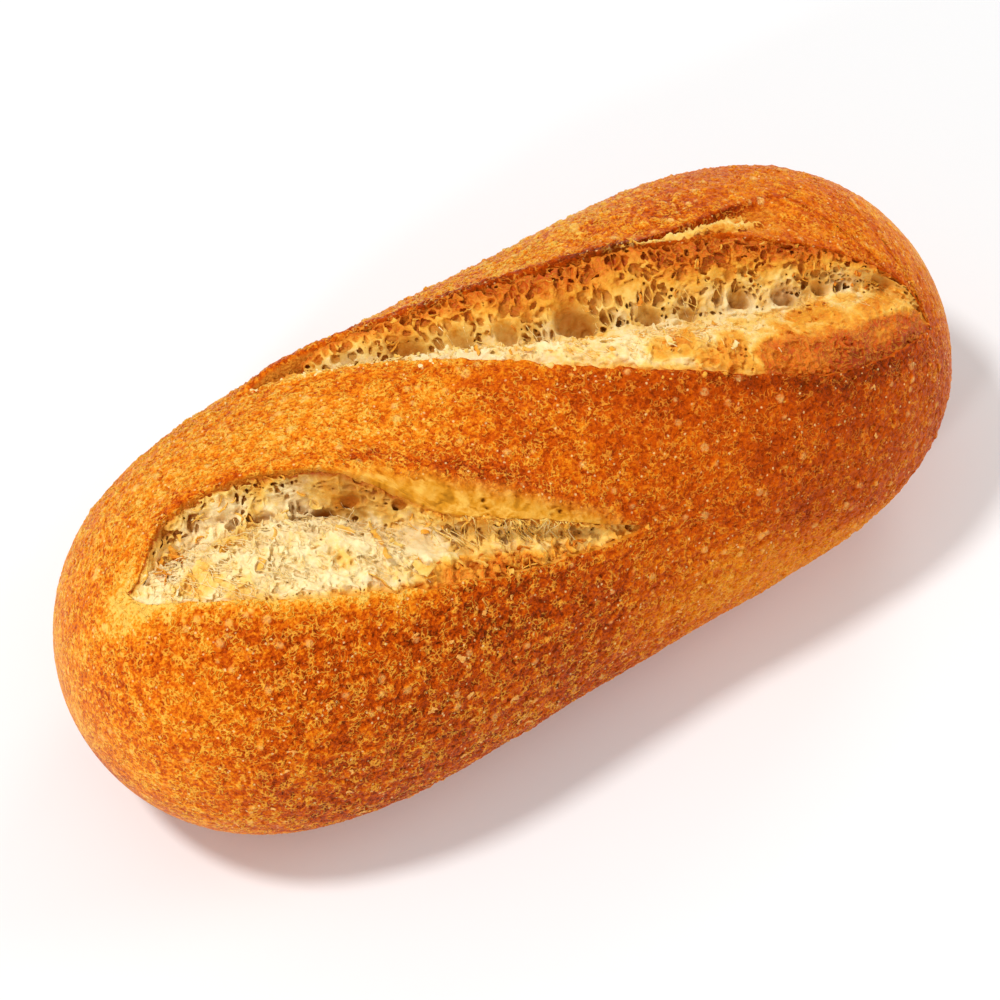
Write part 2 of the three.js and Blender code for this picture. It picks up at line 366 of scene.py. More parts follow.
def place(x, angle, lift):
    """Points of the loaf in millimetres: a station, an angle from the top and a lift off the plain form."""
    full = fullness(x)
    side, up = np.sin(np.radians(angle)), np.cos(np.radians(angle))
    near = NEAR_WAIST["slimmer"] * bell(x - NEAR_WAIST["station"], NEAR_WAIST["reach"])
    far = FAR_WAIST["slimmer"] * bell(x - FAR_WAIST["station"], FAR_WAIST["reach"])
    across = (WIDTH / 2 - np.where(side < 0, near, far)) * full * side
    height = np.where(up > 0, HEIGHT - WIDEST_LEVEL, BELLY_DEPTH) * full * up
    radius = np.maximum(np.hypot(across, height), 1e-6)
    grown = 1 + lift * full / radius
    return np.stack([x, across * grown, np.maximum(0, WIDEST_LEVEL + height * grown)], axis=-1)


# Crumb: what the torn bread is like at shares along and across each cut
# Toast is how brown it is. The painted shade is how much darker than its toast it is painted where shade
# falls, in hollows, low in the far wall and under the near cut's high lip; below 0 it paints the mounds
# lighter.
# Webbed is how open its cells are, matted how far patches of them are closed, stretch how far they are drawn
# out, deep how many millimetres they go down, and large how far they are all large ones.
# Ragged is how rough its surface is, and grainy how far round grains stand on it.

def dents_at(cut, share, across, width, lumps):
    """How far burst bubbles dent the crumb and crags raise it, and how far inside a dent a place is."""
    sunk, inside = 0.0, 0.0
    for along, at, half_along, half_across, depth in cut["dents"]:
        off_along = (share - along) * (cut["to"][0] - cut["from"][0]) / half_along
        off_across = (across - at) * width / half_across
        here = smoothstep(1.2 - np.hypot(off_along, off_across) + 0.25 * lumps, 0.0, 0.6)
        sunk = sunk + depth * here
        inside = np.maximum(inside, here * (depth > 0))
    return sunk, inside


def crumb_level(cut, x, angle, lumps):
    """How high the torn crumb stands, how far it is from the nearer lip, and how far bubbles dent it."""
    lips, edge = lips_at(cut, x), crust_edge(cut, x)
    share, gape = lips.share, lips.gape
    across = (angle - lips.low) / (lips.high - lips.low)
    side = np.minimum(angle - lips.low, edge - angle) * ARC
    sunk = CRUMB_STEP + cut["depth"] * trough(cut, share, across)
    below_edge = (edge - angle) * ARC
    climb = (1 - smoothstep(below_edge, 0.0, cut["crumb_climb"])) * smoothstep(gape, 0.1, 0.5)
    ridge, below_rim = 0.0, CRUMB_STEP
    if cut is NEAR_CUT:
        right = smoothstep(share, 0.5, 0.65)
        sunk = sunk * (1 - 0.3 * right)
        climb = np.maximum(climb, 1 - smoothstep(share, 0.03, 0.11))
        ridge = right * bell(below_edge - 0.8, 1.1) * (0.3 + 0.8 * lumps)
        below_rim = lerp(lerp(-0.2, 1.0, smoothstep(share, 0.05, 0.16)), CRUMB_STEP, right)
    level = -gape * (sunk - 0.9 * lumps) - 0.5 * (1 - gape)
    level = lerp(level, rim_lift(cut, x, edge) - below_rim * gape + 0.4 * lumps, climb) + ridge
    dented = dents_at(cut, share, across, (lips.high - lips.low) * ARC, lumps)[0]
    level = level - dented
    under = -1.1 - 0.9 * np.maximum(0, -side)
    low_rim = lips.lift * cut["low"]["rim"] - lerp(0.0, 0.25, smoothstep(share, 0.2, 0.4))
    spill = low_rim + 0.55 * lumps + 0.3 * side
    spills = (angle < lips.low) & (side > -UNDER_LIP) & (share > 0.01) & (share < cut["spill_ends"])
    hidden = np.where(side < 0.0, np.minimum(level, under), level)
    level = np.where(spills, np.maximum(spill, under), hidden)
    if cut is FAR_CUT:
        strip = torn_strip(x, angle, lumps)
        proud = lerp(-2.4, 1.1, smoothstep(strip, 0.0, 0.6))
        on_shelf = rim_lift(cut, x, angle) + shelf_relief(x, angle) + proud + 0.4 * lumps
        level = np.where(angle > edge, np.maximum(on_shelf, level), level)
    return level, side, dented


def crumb_margin(cut, x, angle):
    """How far inside the block of crumb a place is, from under the low lip to past the high one."""
    low, edge = lips_at(cut, x).low, crust_edge(cut, x)
    return np.minimum((angle - low) * ARC + UNDER_LIP, (edge - angle) * ARC + cut["crumb_over"])


def near_look(x, angle, wander):
    """What the near cut's crumb is like at places, as amounts by name."""
    lips = lips_at(NEAR_CUT, x)
    share, width = lips.share, lips.high - lips.low
    across = (angle - lips.low) / width
    below_edge = (crust_edge(NEAR_CUT, x) - angle) * ARC
    right = smoothstep(share, 0.45, 0.6)
    high_edge = 1 - smoothstep(below_edge, 0.3, 2.4)
    crags = bell(share - 0.66, 0.16) * (1 - smoothstep(across, 0.12, 0.3))
    low_edge = (1 - smoothstep(across, -0.02, 0.1)) * smoothstep(share, 0.1, 0.35)
    right_end = smoothstep(share, 0.78, 0.95)
    flaky = smoothstep(wander, 0.1, 0.55) * (1 - right)
    web = smoothstep(share, 0.34, 0.42) * (1 - smoothstep(share, 0.58, 0.66)) * smoothstep(across, 0.62, 0.76)
    dent = dents_at(NEAR_CUT, share, across, width * ARC, wander)[1]
    membrane = smoothstep(bell(share - 0.54, 0.05) * bell(across - 0.4, 0.2), 0.25, 0.6)
    toast = np.maximum.reduce([
        lerp(0.3, 0.42, right) * high_edge, 0.58 * crags, 0.42 * low_edge, 0.42 * right_end,
        0.2 * web, 0.2 * right, np.full_like(x, 0.04),
    ])
    toast = toast + 0.11 * flaky + 0.08 * wander
    mound = 1 - smoothstep(across, 0.3, 0.6)
    # A painted shadow line under the high lip's roll: the crumb there is painted browner and darker.
    painted_lip_shadow = (1 - smoothstep(below_edge, 0.1, 0.9)) * (1 - smoothstep(share, 0.4, 0.5)) * (across > 0.5)
    toast = np.maximum(toast, 0.66 * painted_lip_shadow)
    ragged = np.clip(1.25 + 0.5 * crags - 0.3 * web - 0.85 * membrane - 0.3 * high_edge, 0.06, 2)
    # Painted shade: darker in the web below the high lip, in the line under the lip's roll, near the high
    # edge and in the right half's recess; lighter on the mound.
    painted_shade = 0.38 * web + 0.3 * painted_lip_shadow + 0.25 * high_edge * (1 - right) + 0.1 * right * (1 - membrane)
    return {
        "toast": np.clip(toast * (1 - 0.9 * membrane), 0, 1),
        "webbed": np.clip(1.0 - 0.1 * mound - 0.5 * crags - 0.1 * web - membrane - 0.2 * dent, 0, 1),
        "matted": np.clip(lerp(0.3 + 0.3 * mound, 0.15, right) + 0.5 * web, 0, 1),
        "grainy": np.clip(0.6 * mound + 0.4 * crags - membrane, 0, 1),
        "stretch": np.clip(smoothstep(across, 0.25, 0.5) + right, 0, 1) * (1 - web) * (1 - 0.8 * high_edge),
        "ragged": ragged * lerp(1.0, 0.35, across < 0),
        "deep": lerp(lerp(1.1, 2.8, smoothstep(across, 0.5, 0.75)), 2.0, right) - 1.2 * web,
        "painted_shade": painted_shade - 0.08 * mound,
        "large": np.zeros_like(x),
    }


def far_look(x, angle, wander):
    """What the far cut's crumb is like at places, as amounts by name."""
    lips = lips_at(FAR_CUT, x)
    share, width = lips.share, lips.high - lips.low
    across = (angle - lips.low) / width
    on_shelf = angle > lips.high
    dip = valley_share(FAR_CUT, share)
    wall = smoothstep(across, dip - 0.02, dip + 0.06)
    wall_top = smoothstep(across, dip + 0.08, 0.97)
    mound = 1 - wall
    dent = dents_at(FAR_CUT, share, across, width * ARC, wander)[1]
    skin_line = lerp(-0.35, 0.55, smoothstep(share, 0.4, 0.86))
    skin = mound * (1 - smoothstep(across + 0.26 * wander, skin_line - 0.36, skin_line + 0.16))
    spots = smoothstep(wander, 0.1, 0.55) * smoothstep(share, 0.35, 0.6)
    right_tip = smoothstep(share, 0.86, 0.97)
    on_wall = 0.14 + 0.3 * wall_top + 0.22 * wall_top**3
    on_mound = 0.05 + 0.07 * smoothstep(share, 0.3, 0.5) + 0.24 * spots
    toast = wall * on_wall + mound * on_mound
    toast = np.maximum.reduce([toast, (0.8 + 0.08 * wander) * skin, 0.34 * right_tip]) + 0.1 * wander
    low_edge = (1 - smoothstep(across, -0.02, 0.12)) * smoothstep(share, 0.28, 0.5)
    toast = np.maximum(toast, 0.46 * low_edge)
    toast = np.where(on_shelf, 0.6 - 0.44 * torn_strip(x, angle, wander), toast)
    ragged_mound = 1.2 * mound * (1 - 0.4 * skin) * lerp(1.0, 0.35, across < 0)
    ragged_wall = wall * np.where(on_shelf, 1.3, lerp(0.7, 0.35, wall_top)) * (1 - 0.5 * dent)
    return {
        "toast": np.clip(toast, 0, 1),
        "webbed": np.clip(wall * (1 - 0.45 * dent) + 0.35 * mound * (1 - skin), 0, 1),
        "matted": np.clip(0.5 * mound + 0.12 * wall, 0, 1),
        "grainy": np.where(on_shelf, 1.0, np.clip(1.5 * mound, 0, 2)),
        "stretch": wall * (1 - 0.75 * wall_top),
        "ragged": ragged_mound + ragged_wall,
        "deep": lerp(lerp(1.5, 0.9, skin), lerp(2.6, 1.5, wall_top), wall),
        # Painted shade: darker low in the wall, lighter on the mound.
        "painted_shade": 0.2 * wall * (1 - wall_top) - 0.32 * mound,
        "large": wall * smoothstep(wall_top, 0.35, 0.7),
    }


def torn_foam(points, above, look, seed):
    """Signed distance to the torn crumb at points, by their height above its level and what it is like."""
    along = TEAR_ALONG * points[:, 0] - TEAR_ACROSS * points[:, 1]
    across = TEAR_ACROSS * points[:, 0] + TEAR_ALONG * points[:, 1]
    turned = np.stack([along, across, points[:, 2]], axis=1)
    drawn = turned / np.array(DRAWN_OUT, np.float32)
    warp = np.stack([noise(turned, 2.2, seed + n) for n in (11, 12, 13)], axis=1)
    turned = turned + 0.35 * warp
    drawn = drawn + 0.25 * warp
    mixture = np.maximum(smoothstep(noise(turned, 3.2, seed + 14), -0.08, 0.08), look["large"])
    even_cells = lerp(*[cell_walls(turned, size, seed + n) for n, size in enumerate(EVEN_CELLS, 1)], mixture)
    drawn_cells = lerp(*[cell_walls(drawn, size, seed + n) for n, size in enumerate(DRAWN_CELLS, 3)], mixture)
    thickness = CELL_WALL + CELL_WALL_VARIES * noise(turned, 1.7, seed + 7)
    hollow = lerp(even_cells, drawn_cells, look["stretch"]) - thickness
    fins = np.abs(lerp(noise(turned, 1.5, seed + 5), noise(drawn, 1.3, seed + 8), look["stretch"]))
    pits = np.minimum(1.0, 2.4 * fins) + 0.5 * noise(turned, 0.55, seed + 9)
    grains = np.maximum(0, -pores(turned, 1.05, seed + 6, 0.25, 0.62, 0.8))
    surface = above + 0.75 * look["ragged"] * (pits - 0.25) - 1.3 * look["grainy"] * grains
    open_web = look["webbed"] * (1 - look["matted"] * smoothstep(noise(turned, 2.6, seed + 15), -0.1, 0.4))
    foam = surface + open_web * (np.maximum(surface, hollow) - surface)
    return np.minimum(foam, above + look["deep"])


def carve_crumb(cut, look, seed):
    """The torn crumb of a cut as points, faces, and the toast and painted cavity shade of each point, the
    shade stored as depth.
    """
    xs = np.arange(cut["from"][0] - 1, cut["to"][0] + 1, VOXEL)
    lowest, highest = -cut["low"]["parts"] * ARC, cut["high"]["parts"] * ARC
    arcs = np.arange(lowest - UNDER_LIP - 1, highest + cut["crumb_over"] + 1, VOXEL)
    lifts = np.arange(*cut["block"], VOXEL)
    line = cut_line(cut, xs)[1]
    x2, arc2 = np.meshgrid(xs, arcs, indexing="ij")
    angle2 = line[:, None] + arc2 / ARC
    flat = np.stack([x2.ravel(), angle2.ravel() * ARC, np.zeros(x2.size)], axis=1)
    wander = (1.6 * layered_noise(flat, 5.0, seed, 2)).reshape(x2.shape)
    lumps = (1.4 * layered_noise(flat, 4.5, seed + 20, 3)).reshape(x2.shape)
    level, side, dented = crumb_level(cut, x2, angle2, lumps)
    margin = crumb_margin(cut, x2, angle2)
    look2 = look(x2, angle2, wander)

    above = (lifts[None, None, :] - level[:, :, None]).astype(np.float32)
    busy = (above > -CORE_DEPTH - 1) & (above < 1.2) & (margin > -0.6)[:, :, None]
    where = np.nonzero(busy)
    i, j, k = where
    points = np.stack([xs[i], angle2[i, j] * ARC, lifts[k]], axis=1).astype(np.float32)
    here = {name: values[i, j].astype(np.float32) for name, values in look2.items()}
    foam = np.maximum(torn_foam(points, above[where], here, seed), -margin[i, j])

    block = np.where(above > 0, 1.0, -1.0).astype(np.float32)
    block[np.broadcast_to((margin <= -0.5)[:, :, None], block.shape)] = 1.0
    block[where] = np.clip(foam, -1, 1)
    grid = openvdb.FloatGrid(1.0)
    grid.copyFromArray(block)
    corners, faces = grid.convertToQuads(0.0)
    corners, faces = largest_piece(corners.astype(np.float64), faces.astype(np.int64))

    x = xs[0] + corners[:, 0] * VOXEL
    arc = arcs[0] + corners[:, 1] * VOXEL
    lift = lifts[0] + corners[:, 2] * VOXEL
    angle = cut_line(cut, x)[1] + arc / ARC
    i = np.clip(np.rint(corners[:, 0]).astype(int), 0, len(xs) - 1)
    j = np.clip(np.rint(corners[:, 1]).astype(int), 0, len(arcs) - 1)
    depth = (level + dented)[i, j] - lift
    crust_over = rim_lift(cut, x, angle) + shelf_relief(x, angle)
    covered = (angle > crust_edge(cut, x)) & (level[i, j] < crust_over - 1.5) & (side[i, j] < -UNDER_LIP)
    above_floor = (lift[faces] > lifts[0] + 0.5).all(1)
    seen = above_floor & (margin[i, j][faces] > 0.3).any(1) & ~covered[faces].all(1)
    used, faces = np.unique(faces[seen], return_inverse=True)
    faces = faces.reshape(-1, FACE_CORNERS)
    # Painted cavity shade: the deeper a point lies below the crumb's level and the more painted shade its
    # look gives, the darker it is painted. It is stored under the name depth.
    painted_cavity_shade = np.clip(depth[used] / 4 + look2["painted_shade"][i, j][used], 0, 1)
    looks = {"toast": look2["toast"][i, j][used], "depth": painted_cavity_shade}
    return place(x, angle, lift + swell_relief(x, angle))[used], faces, looks


def largest_piece(points, faces):
    """Keeps the largest connected piece of a mesh, which drops sealed bubbles and loose scraps."""
    label = np.arange(len(points))
    edges = np.concatenate([faces[:, [0, 1]], faces[:, [1, 2]], faces[:, [2, 3]], faces[:, [3, 0]]])
    while True:
        low = np.minimum(label[edges[:, 0]], label[edges[:, 1]])
        new = label.copy()
        np.minimum.at(new, edges[:, 0], low)
        np.minimum.at(new, edges[:, 1], low)
        new = new[new]
        while True:
            jumped = new[new]
            if np.array_equal(jumped, new):
                break
            new = jumped
        if np.array_equal(new, label):
            break
        label = new
    names, counts = np.unique(label[faces[:, 0]], return_counts=True)
    keep = label[faces[:, 0]] == names[counts.argmax()]
    used, faces = np.unique(faces[keep], return_inverse=True)
    return points[used], faces.reshape(-1, FACE_CORNERS)


def finish_piece(name, mesh, material):
    """Links a mesh as a smooth piece of the loaf."""
    mesh.materials.append(material)
    mesh.shade_smooth()
    piece = bpy.data.objects.new(name, mesh)
    bpy.context.scene.collection.objects.link(piece)
    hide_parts("loaf")
    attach(piece, "root")


def give_looks(mesh, looks):
    """Stores one number a point under each name, for the materials to read."""
    for name, values in looks.items():
        attribute = mesh.attributes.new(name, "FLOAT", "POINT")
        attribute.data.foreach_set("value", np.ascontiguousarray(values, np.float32))


def crumb_piece(name, points, faces, looks, material):
    """A piece of the loaf made from points and faces."""
    mesh = bpy.data.meshes.new(name)
    mesh.from_pydata((points * MM).tolist(), [], faces.tolist())
    give_looks(mesh, looks)
    mesh.update()
    finish_piece(name, mesh, material)


def crumb_lengths(name, lengths, points, faces, looks, material):
    """Shares a cut's crumb out into pieces along the loaf, with as many faces each."""
    order = np.argsort(points[faces, 0].mean(1), kind="stable")
    for length, part in zip(lengths, np.array_split(order, len(lengths))):
        used, kept = np.unique(faces[part], return_inverse=True)
        own = {key: values[used] for key, values in looks.items()}
        crumb_piece(name + "_" + length, points[used], kept.reshape(-1, FACE_CORNERS), own, material)


# Strands and flakes: fine scraps that the tear has left

def crumb_point(cut, along, across, lift):
    """A place on the torn crumb, by shares along and across a cut, with a lift off its level."""
    x = lerp(cut["from"][0], cut["to"][0], along)
    lips = lips_at(cut, x)
    angle = lerp(lips.low, lips.high, across)
    level = crumb_level(cut, x, angle, np.zeros_like(x))[0]
    return place(x, angle, level + lift + swell_relief(x, angle))


def many_scraps(points, faces, toast):
    """Points of many scraps with the faces of one, and each scrap's toast, as points, faces and looks."""
    points_each = len(points) // len(toast)
    starts = np.arange(len(toast))[:, None, None] * points_each
    faces = (starts + np.array(faces)[None]).reshape(-1, FACE_CORNERS)
    # Scraps get no painted shade: their depth number is 0.
    return points, faces, {"toast": np.repeat(toast, points_each), "depth": np.zeros(len(points))}


def strands(cut, count, along, across, length, thickness, sunk, toast, curly, seed):
    """Thin bread fibres drawn across a tear, as tubes of rings: points, faces and looks."""
    draw = np.random.default_rng(seed)
    steps, sides = 7, 4
    middle_along = draw.uniform(*along, count)
    middle_across = draw.uniform(*across, count)
    reach = draw.uniform(*length, count)
    slant = draw.normal(-0.3, 0.2 + curly, count)
    bow = draw.uniform(-0.1, 1.2, count) * curly
    wide = draw.uniform(*thickness, count)
    span = cut["to"][0] - cut["from"][0]
    share = np.linspace(-0.5, 0.5, steps)
    lips = lips_at(cut, lerp(cut["from"][0], cut["to"][0], middle_along))
    width = np.maximum((lips.high - lips.low) * ARC, 1.0)
    bend = draw.normal(0, 0.7, (count, steps)).cumsum(1) * curly
    runs_along = (slant[:, None] * share + 0.12 * bend) * reach[:, None] / span
    runs_across = share * (reach / width)[:, None]
    spine = crumb_point(
        cut,
        np.clip(middle_along[:, None] + runs_along, 0.02, 0.98),
        np.clip(middle_across[:, None] + runs_across, 0.02, 0.98),
        bow[:, None] * (1 - 4 * share**2) + 0.15 * bend - sunk,
    )
    forward = np.gradient(spine, axis=1)
    forward /= np.linalg.norm(forward, axis=2, keepdims=True) + 1e-9
    mostly_up = np.array([0.3, 0.2, 0.9])
    aside = np.cross(forward, mostly_up)
    aside /= np.linalg.norm(aside, axis=2, keepdims=True) + 1e-9
    over = np.cross(aside, forward)
    turn = np.arange(sides) / sides * 2 * np.pi
    taper = wide[:, None] * (0.55 + 0.6 * np.abs(share * 2) ** 1.5)
    rings = (
        spine[:, :, None]
        + taper[:, :, None, None] * np.cos(turn)[:, None] * aside[:, :, None]
        + taper[:, :, None, None] * np.sin(turn)[:, None] * over[:, :, None]
    )
    points = rings.reshape(-1, 3)
    faces = []
    for step in range(steps - 1):
        for n in range(sides):
            m = (n + 1) % sides
            faces.append((step * sides + n, (step + 1) * sides + n, (step + 1) * sides + m, step * sides + m))
    faces.append(tuple(range(sides)))
    faces.append(tuple(range(steps * sides - 1, (steps - 1) * sides - 1, -1)))
    return many_scraps(points, faces, draw.uniform(*toast, count))


def flakes(cut, count, along, across, size, toast, seed):
    """Small curled scraps of crumb standing on a tear: points, faces and looks."""
    draw = np.random.default_rng(seed)
    shares = draw.uniform(*along, count), draw.uniform(*across, count)
    centre = crumb_point(cut, *shares, draw.uniform(-0.3, 0.3, count))
    return curled_scraps(draw, centre, 0.9, size, toast)


def peels(count, stations, angles, size, seed):
    """Thin scraps that have lifted off the crust, between two stations and two angles, clear of the cuts."""
    draw = np.random.default_rng(seed)
    x, angle = draw.uniform(*stations, count), draw.uniform(*angles, count)
    clear = np.ones(count, bool)
    for cut in (NEAR_CUT, FAR_CUT):
        clear &= (angle < lips_at(cut, x).low - 4) | (angle > crust_edge(cut, x) + 2)
    x, angle = x[clear], angle[clear]
    return curled_scraps(draw, place(x, angle, 0.2 + swell_relief(x, angle)), 0.15, size, (0.0, 0.0))


def curled_scraps(draw, centre, tumbled, size, toast):
    """Thin curled sheets round the given places, tumbled by an amount: points, faces and looks."""
    count = len(centre)
    long, wide = 7, 4
    u, v = np.meshgrid(np.linspace(-0.5, 0.5, long), np.linspace(-0.5, 0.5, wide), indexing="ij")
    heading = draw.uniform(0, 2 * np.pi, count)
    up = centre - np.array([0.0, 0.0, WIDEST_LEVEL])
    up[:, 0] *= (np.abs(centre[:, 0]) / (LENGTH / 2)) ** 3
    up = up / np.linalg.norm(up, axis=1, keepdims=True) + tumbled * draw.normal(0, 1, (count, 3))
    up /= np.linalg.norm(up, axis=1, keepdims=True)
    forward = np.stack([np.cos(heading), np.sin(heading), draw.uniform(-0.3, 0.5, count)], axis=1)
    aside = np.cross(up, forward)
    aside /= np.linalg.norm(aside, axis=1, keepdims=True) + 1e-9
    forward = np.cross(aside, up)
    length = draw.uniform(*size, count)
    breadth = length * draw.uniform(0.25, 0.55, count)
    curl = draw.uniform(0.2, 1.1, count) * length
    cup = draw.uniform(-0.4, 0.6, count) * breadth
    ragged = 1 + 0.5 * draw.uniform(-1, 1, (count, long, wide)) * (np.abs(v) > 0.4)
    sheets = []
    for half_thick in (0.07, -0.07):
        lift = curl[:, None, None] * (u**2 - 0.1) + cup[:, None, None] * v**2 + half_thick
        sheets.append(
            centre[:, None, None]
            + (length[:, None, None] * u)[..., None] * forward[:, None, None]
            + (breadth[:, None, None] * v * ragged * (1 - 0.8 * u))[..., None] * aside[:, None, None]
            + lift[..., None] * up[:, None, None]
        )
    points = np.stack(sheets, axis=1).reshape(-1, 3)
    one = long * wide
    faces = []
    for a in range(long - 1):
        for b in range(wide - 1):
            quad = (a * wide + b, (a + 1) * wide + b, (a + 1) * wide + b + 1, a * wide + b + 1)
            faces.append(quad)
            faces.append(tuple(one + n for n in quad[::-1]))
    rim = [a * wide for a in range(long)] + [(long - 1) * wide + b for b in range(1, wide)]
    rim += [a * wide + wide - 1 for a in range(long - 2, -1, -1)] + list(range(wide - 2, 0, -1))
    for n, m in zip(rim, rim[1:] + rim[:1]):
        faces.append((m, n, one + n, one + m))
    return many_scraps(points, faces, draw.uniform(*toast, count))


def gather(batches):
    """Several batches of points, faces and looks as one."""
    points, faces, start = [], [], 0
    looks = {name: [] for name in batches[0][2]}
    for batch_points, batch_faces, batch_looks in batches:
        points.append(batch_points)
        faces.append(batch_faces + start)
        for name in looks:
            looks[name].append(batch_looks[name])
        start += len(batch_points)
    return np.concatenate(points), np.concatenate(faces), {k: np.concatenate(v) for k, v in looks.items()}


# Crust

CRUST_BANDS = {  # columns in each band round the loaf, and how far they crowd to the band's edges
    "base": (24, 0.0), "near side": (210, 0.25), "near mound": (14, 0.9), "near wall": (20, 0.9),
    "strap": (150, 0.6), "far mound": (14, 0.9), "far wall": (24, 0.9), "shelf": (44, 0.8),
    "far side": (150, 0.25), "base end": (24, 0.0),
}
CRUST_COLUMNS = sum(columns for columns, _ in CRUST_BANDS.values())
CRUST_RINGS = 620
RING_EVENNESS = 0.7
TRENCH = 7.0  # how far the crust's inner wall reaches below the crumb


def crowded(share, amount):
    """Shares drawn towards both ends of a band, by an amount."""
    return lerp(share, (1 - np.cos(np.pi * share)) / 2, amount)


def column_angles(x):
    """The angle of every column of the crust at each station, as rows of columns."""
    near, far = lips_at(NEAR_CUT, x), lips_at(FAR_CUT, x)
    half_turn, base = np.full_like(x, 180.0), base_angle(x)
    knots = [-half_turn, -base, near.low, near.valley, crust_edge(NEAR_CUT, x)]
    knots += [far.low, far.valley, far.high, ear_angle(x), base, half_turn]
    columns = []
    for (steps, crowding), start, end in zip(CRUST_BANDS.values(), knots, knots[1:]):
        shares = crowded(np.arange(steps) / steps, crowding)
        columns.append(lerp(start[:, None], end[:, None], shares[None, :]))
    columns.append(half_turn[:, None])
    return np.concatenate(columns, axis=1)


def ring_stations():
    """The stations of the crust's rings, which lie closer towards the tips."""
    share = np.arange(CRUST_RINGS + 1) / CRUST_RINGS
    return LENGTH / 2 * lerp(-np.cos(np.pi * share), 2 * share - 1, RING_EVENNESS)


def cut_in_crust(cut, x, angle):
    """Lift of the crust by a cut's rims, its fall into the trench, and how far inside the cut a point is."""
    lips, edge = lips_at(cut, x), crust_edge(cut, x)
    across = (angle - lips.low) / (edge - lips.low)
    wall = np.clip(0.7 / np.maximum((edge - lips.low) * MM_PER_DEGREE, 0.1), 0.02, 0.3)
    inside = smoothstep(across, 0, wall) * smoothstep(1 - across, 0, wall)
    rim = lerp(rim_lift(cut, x, lips.low), rim_lift(cut, x, edge), np.clip(across, 0, 1))
    sunk_share = trough(cut, lips.share, (angle - lips.low) / (lips.high - lips.low))
    floor = -lips.gape * cut["depth"] * sunk_share - TRENCH * smoothstep(lips.gape, 0.05, 0.4)
    within = (across > 0) & (across < 1) & (lips.gape > 0)
    sunk = lerp(rim, floor, inside)
    torn = np.where(within, smoothstep(rim - sunk, 0.3, 0.9), 0.0)
    return np.where(within, sunk, rim_lift(cut, x, angle)), np.where(within, inside, 0.0), torn


def far_roll(x):
    """How far behind the far cut's high lip the crease of its roll runs, and how marked the roll is."""
    return lerp(4.2, 2.4, smoothstep(x, -20, 18)), smoothstep(x, -34, -22) * (1 - smoothstep(x, 20, 32))


def bake_of(x, angle, points):
    """How brown the crust is, from 0, pale gold, to 1, dark brown."""
    near, far = lips_at(NEAR_CUT, x), lips_at(FAR_CUT, x)
    near_open, far_open = smoothstep(near.gape, 0.02, 0.25), smoothstep(far.gape, 0.02, 0.25)
    from_near = (near.low - angle) * MM_PER_DEGREE
    from_far = (far.low - angle) * MM_PER_DEGREE
    from_ear = (angle - far.high) * MM_PER_DEGREE
    flank = 0.42 + 0.26 * smoothstep(x, -76, -40) - 0.3 * smoothstep(x, -15, 30)
    strap = 0.28 + 0.36 * smoothstep(x, -50, 8)
    bake = lerp(strap, flank, smoothstep(from_near, -2, 8))
    past_end = 14 * (smoothstep(far.share, 0.93, 1.08) + smoothstep(-far.share, -0.05, 0.12))
    bake = lerp(bake, 0.34 + 0.14 * smoothstep(x, 24, 44), smoothstep(from_ear, -1 - past_end, 6 + past_end))
    beside_far = smoothstep(far.share, 0.0, 0.06) * (1 - smoothstep(far.share, 0.94, 1.0))
    bake = bake + 0.16 * bell(from_far - 1, 5) * smoothstep(x, 0, 40) * (from_far > 0) * beside_far
    bake = bake + 0.1 * bell(from_near - 6, 9) * bell(x + 14, 24) * smoothstep(from_near, 0, 2)
    bake = bake + 0.14 * bell(from_ear - 0.5, 3) * (from_ear > -1) * (1 - smoothstep(x, 20, 40)) * beside_far
    high_rim = bell((angle - near.high) * MM_PER_DEGREE - 0.4, 1.6) * (1 - smoothstep(x, -46, -38))
    bake = bake + 0.2 * high_rim * near_open
    above_ledge = bell((angle - near.high) * MM_PER_DEGREE - 2.2, 2.2) * bell(x + 26, 13)
    below_near = bell(from_near - 1.4, 1.8) * bell(x + 20, 13)
    below_far = bell(from_far - 1.2, 1.8) * smoothstep(x, 14, 30) * (1 - smoothstep(x, 54, 62))
    bake = bake + 0.2 * above_ledge + 0.2 * below_near + 0.08 * below_far
    pale_lip = bell(from_near, 1.4) * (1 - smoothstep(x, -45, -20)) * (from_near > -1)
    bake = bake - 0.22 * pale_lip * near_open
    bake = bake - 0.2 * bell(from_far, 1.4) * (1 - smoothstep(x, 0, 25)) * (from_far > -1) * far_open
    shelf = smoothstep(from_ear, 0, 1) * (angle < ear_angle(x)) * smoothstep(x, 20, 28)
    bake = lerp(bake, 0.5, shelf)
    # The ear's edge is browner: partly it is well baked, and partly this is a painted shadow line under the
    # ear's overhang.
    bake = bake + 0.42 * bell((angle - ear_angle(x)) * MM_PER_DEGREE + 0.5, 0.9) * bell(x - 38, 18)
    behind, rolled = far_roll(x)
    bake = bake + 0.32 * rolled * bell(from_ear - behind, 0.9)
    bake = bake - 0.2 * smoothstep(x, 64, 76)
    tip_station, tip_angle = NEAR_CUT["from"]
    bake = bake - 0.5 * bell(x - tip_station, 5.0) * bell((angle - tip_angle + 5) * MM_PER_DEGREE, 5.0)
    bake = lerp(bake, 0.55, smoothstep(np.abs(angle), 105, 140))
    return np.clip(bake + 0.14 * layered_noise(points, 14.0, 31, 2), 0, 1)


def bareness_of(x, angle, points):
    """How far the crust is torn thin and pale: on the near cut's ledge and in the strip below the ear."""
    near = lips_at(NEAR_CUT, x)
    wander = layered_noise(points, 4.0, 61, 2)
    fade = (angle - near.high) * MM_PER_DEGREE + 1.4 * wander
    along = smoothstep(near.share, 0.36, 0.5) * (1 - smoothstep(near.share + 0.04 * wander, 0.86, 0.99))
    ledge = along * (1 - smoothstep(fade, -3.5, 1.5)) * (angle > near.low)
    return np.clip(np.maximum(ledge, 0.6 * torn_strip(x, angle, wander)), 0, 1)


